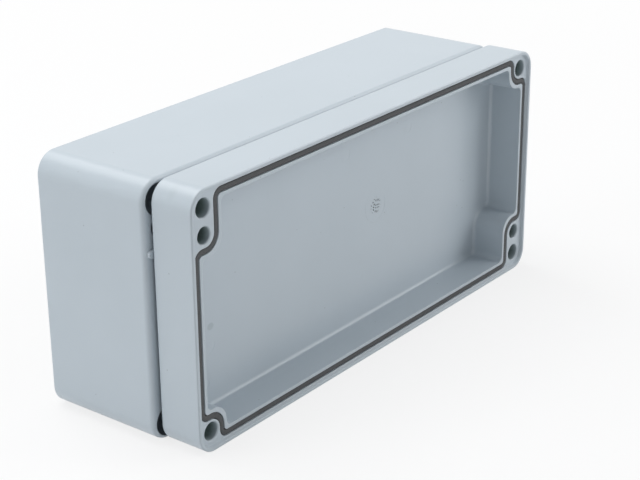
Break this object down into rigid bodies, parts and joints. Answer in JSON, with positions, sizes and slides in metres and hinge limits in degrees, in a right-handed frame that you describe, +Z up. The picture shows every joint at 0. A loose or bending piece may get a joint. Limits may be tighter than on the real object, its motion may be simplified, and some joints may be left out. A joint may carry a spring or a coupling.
{
  "type": "aluminium enclosure",
  "caption": "Two-part die-cast aluminium case stood on its long side, lid off: a deep base with corner bosses behind a shallow lid with a gasket in its rim groove.",
  "frame": {"origin": "on the ground, under the middle of the box around the lid and the base, which both stand on a long side", "axes": "+X along the length of the case; +Y from the lid in front to the open side of the base behind, so the inside of the lid faces -Y; +Z up"},
  "size_m": [0.1772, 0.0586, 0.08],
  "materials": {
    "painted_casting": "light blue-grey powder coat, fine texture, satin",
    "seal_rubber": "dark grey-brown, matt"
  },
  "bodies": {
    "root": {"lid": "painted_casting", "base": "painted_casting", "gasket": "seal_rubber"}
  },
  "joints": []
}
